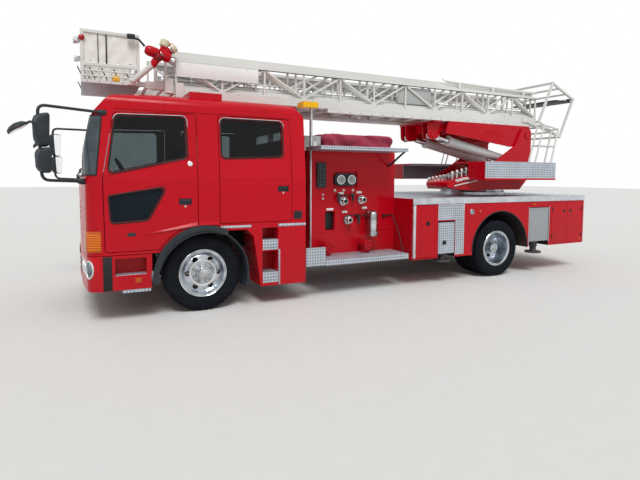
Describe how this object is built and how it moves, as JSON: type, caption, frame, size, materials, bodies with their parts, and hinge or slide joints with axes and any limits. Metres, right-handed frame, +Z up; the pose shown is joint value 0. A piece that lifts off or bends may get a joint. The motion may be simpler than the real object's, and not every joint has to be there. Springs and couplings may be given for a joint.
{
  "type": "fire engine",
  "caption": "Double-cab fire engine with an open pump bay, outriggers and a slewing telescopic ladder with a tip basket.",
  "frame": {"origin": "on the ground under the middle of the vehicle's overall length and width", "axes": "+X forward, +Y to the left, +Z up"},
  "size_m": [8.5344, 2.69, 3.12],
  "materials": {
    "red_paint": "gloss red body paint",
    "chassis_paint": "black frame paint with road dust",
    "engine_grey": "painted cast engine",
    "glass": "clear tinted",
    "dark_plastic": "grained dark plastic",
    "lamp_plastic": "clear and amber lens",
    "bright_steel": "satin steel",
    "tread_plate": "rolled tread pattern",
    "canvas": "maroon canvas",
    "white_paint": "white enamel",
    "chrome": "hard chromed rod",
    "basket_cloth": "cream coated fabric",
    "wheel_paint": "silver wheel paint",
    "tyre": "black rubber",
    "outrigger_grey": "silver grey paint"
  },
  "bodies": {
    "chassis": {"chassis_frame": "chassis_paint", "axles": "chassis_paint", "engine_block": "engine_grey", "cab_shell": "red_paint", "cab_glass": "glass", "cab_interior": "dark_plastic", "bumper": "red_paint", "lamps": "lamp_plastic", "arch_flares": "dark_plastic", "cab_skirts": "red_paint", "mirrors": "dark_plastic", "pump_house": "red_paint", "pump_fittings": "bright_steel", "bay_treads": "tread_plate", "hose_cover": "canvas", "rear_body": "red_paint", "slew_ring": "bright_steel", "ladder_rest": "red_paint", "roof_boxes": "red_paint"},
    "turntable": {"turntable": "red_paint", "platforms": "tread_plate", "lever_console": "red_paint"},
    "lift_barrels": {"lift_barrels": "white_paint"},
    "lift_rods": {"lift_rods": "chrome"},
    "boom": {"lifting_frame": "red_paint", "base_rails": "white_paint", "ladder_1": "white_paint", "rear_guard": "white_paint"},
    "ladder_2": {"ladder_2": "white_paint"},
    "ladder_3": {"ladder_3": "white_paint"},
    "basket": {"basket_frame": "white_paint", "basket_panels": "basket_cloth"},
    "knuckle_left": {"knuckle_left": "chassis_paint"},
    "front_wheel_left": {"front_rim_left": "wheel_paint", "front_tyre_left": "tyre"},
    "rear_wheels_left": {"rear_rims_left": "wheel_paint", "rear_tyres_left": "tyre"},
    "door_front_left": {"door_front_left": "red_paint", "glass_front_left": "glass"},
    "outrigger_front_left": {"outrigger_front_left": "outrigger_grey"},
    "jack_front_left": {"jack_front_left": "chrome"},
    "door_rear_left": {"door_rear_left": "red_paint", "glass_rear_left": "glass"},
    "outrigger_rear_left": {"outrigger_rear_left": "outrigger_grey"},
    "jack_rear_left": {"jack_rear_left": "chrome"},
    "locker_door_left": {"locker_door_left": "red_paint"},
    "knuckle_right": {"knuckle_right": "chassis_paint"},
    "front_wheel_right": {"front_rim_right": "wheel_paint", "front_tyre_right": "tyre"},
    "rear_wheels_right": {"rear_rims_right": "wheel_paint", "rear_tyres_right": "tyre"},
    "door_front_right": {"door_front_right": "red_paint", "glass_front_right": "glass"},
    "outrigger_front_right": {"outrigger_front_right": "outrigger_grey"},
    "jack_front_right": {"jack_front_right": "chrome"},
    "door_rear_right": {"door_rear_right": "red_paint", "glass_rear_right": "glass"},
    "outrigger_rear_right": {"outrigger_rear_right": "outrigger_grey"},
    "jack_rear_right": {"jack_rear_right": "chrome"},
    "locker_door_right": {"locker_door_right": "red_paint"}
  },
  "joints": [
    {"name": "steer_left", "type": "hinge", "parent": "chassis", "child": "knuckle_left", "pos_m": [2.4828, 0.9, 0.419], "axis": [0, 0, 1], "range_deg": [-35, 35]},
    {"name": "front_wheel_spin_left", "type": "hinge", "parent": "knuckle_left", "child": "front_wheel_left", "pos_m": [2.4828, 0.95, 0.419], "axis": [0, 1, 0], "continuous": true},
    {"name": "rear_wheels_spin_left", "type": "hinge", "parent": "chassis", "child": "rear_wheels_left", "pos_m": [-1.8572, 0.97, 0.419], "axis": [0, 1, 0], "continuous": true},
    {"name": "door_front_left_swing", "type": "hinge", "parent": "chassis", "child": "door_front_left", "pos_m": [3.4628, 1.152, 1.4], "axis": [0, 0, -1], "range_deg": [0, 70]},
    {"name": "door_rear_left_swing", "type": "hinge", "parent": "chassis", "child": "door_rear_left", "pos_m": [2.3108, 1.152, 1.5], "axis": [0, 0, -1], "range_deg": [0, 75]},
    {"name": "locker_door_left_swing", "type": "hinge", "parent": "chassis", "child": "locker_door_left", "pos_m": [-0.6769, 1.15, 0.74], "axis": [0, 0, 1], "range_deg": [0, 88]},
    {"name": "outrigger_front_left_slide", "type": "slide", "parent": "chassis", "child": "outrigger_front_left", "axis": [0, 1, 0], "range_m": [0, 0.85]},
    {"name": "jack_front_left_slide", "type": "slide", "parent": "outrigger_front_left", "child": "jack_front_left", "axis": [0, 0, -1], "range_m": [0, 0.29]},
    {"name": "outrigger_rear_left_slide", "type": "slide", "parent": "chassis", "child": "outrigger_rear_left", "axis": [0, 1, 0], "range_m": [0, 0.85]},
    {"name": "jack_rear_left_slide", "type": "slide", "parent": "outrigger_rear_left", "child": "jack_rear_left", "axis": [0, 0, -1], "range_m": [0, 0.29]},
    {"name": "steer_right", "type": "hinge", "parent": "chassis", "child": "knuckle_right", "pos_m": [2.4828, -0.9, 0.419], "axis": [0, 0, 1], "range_deg": [-35, 35]},
    {"name": "front_wheel_spin_right", "type": "hinge", "parent": "knuckle_right", "child": "front_wheel_right", "pos_m": [2.4828, -0.95, 0.419], "axis": [0, 1, 0], "continuous": true},
    {"name": "rear_wheels_spin_right", "type": "hinge", "parent": "chassis", "child": "rear_wheels_right", "pos_m": [-1.8572, -0.97, 0.419], "axis": [0, 1, 0], "continuous": true},
    {"name": "door_front_right_swing", "type": "hinge", "parent": "chassis", "child": "door_front_right", "pos_m": [3.4628, -1.152, 1.4], "axis": [0, 0, 1], "range_deg": [0, 70]},
    {"name": "door_rear_right_swing", "type": "hinge", "parent": "chassis", "child": "door_rear_right", "pos_m": [2.3108, -1.152, 1.5], "axis": [0, 0, 1], "range_deg": [0, 75]},
    {"name": "locker_door_right_swing", "type": "hinge", "parent": "chassis", "child": "locker_door_right", "pos_m": [-0.6769, -1.15, 0.74], "axis": [0, 0, -1], "range_deg": [0, 88]},
    {"name": "outrigger_front_right_slide", "type": "slide", "parent": "chassis", "child": "outrigger_front_right", "axis": [0, -1, 0], "range_m": [0, 0.85]},
    {"name": "jack_front_right_slide", "type": "slide", "parent": "outrigger_front_right", "child": "jack_front_right", "axis": [0, 0, -1], "range_m": [0, 0.29]},
    {"name": "outrigger_rear_right_slide", "type": "slide", "parent": "chassis", "child": "outrigger_rear_right", "axis": [0, -1, 0], "range_m": [0, 0.85]},
    {"name": "jack_rear_right_slide", "type": "slide", "parent": "outrigger_rear_right", "child": "jack_rear_right", "axis": [0, 0, -1], "range_m": [0, 0.29]},
    {"name": "slew", "type": "hinge", "parent": "chassis", "child": "turntable", "pos_m": [-2.3772, 0, 1.225], "axis": [0, 0, 1], "continuous": true},
    {"name": "elevation", "type": "hinge", "parent": "turntable", "child": "boom", "pos_m": [-3.1172, 0, 2.18], "axis": [0, -1, 0], "range_deg": [0, 75]},
    {"name": "lift_barrel_swing", "type": "hinge", "parent": "turntable", "child": "lift_barrels", "pos_m": [-2.9972, 0, 1.73], "axis": [0, -1, 0], "range_deg": [-2, 71.06]},
    {"name": "lift_rod_slide", "type": "slide", "parent": "lift_barrels", "child": "lift_rods", "axis": [0.9768, 0, 0.214], "range_m": [-0.002, 0.5285]},
    {"name": "ladder_2_slide", "type": "slide", "parent": "boom", "child": "ladder_2", "axis": [1, 0, 0], "range_m": [0, 4.4]},
    {"name": "ladder_3_slide", "type": "slide", "parent": "ladder_2", "child": "ladder_3", "axis": [1, 0, 0], "range_m": [0, 4.4]},
    {"name": "basket_level", "type": "hinge", "parent": "ladder_3", "child": "basket", "pos_m": [2.9228, 0, 2.524], "axis": [0, 1, 0], "range_deg": [0, 75]}
  ],
  "couplings": [
    {"joint": "steer_right", "follows": "steer_left", "ratio": 1},
    {"joint": "lift_barrel_swing", "follows": "elevation", "ratio": 0.90747},
    {"joint": "lift_rod_slide", "follows": "elevation", "m_per_rad": 0.39611},
    {"joint": "basket_level", "follows": "elevation", "ratio": 1},
    {"joint": "ladder_3_slide", "follows": "ladder_2_slide", "ratio": 1}
  ]
}
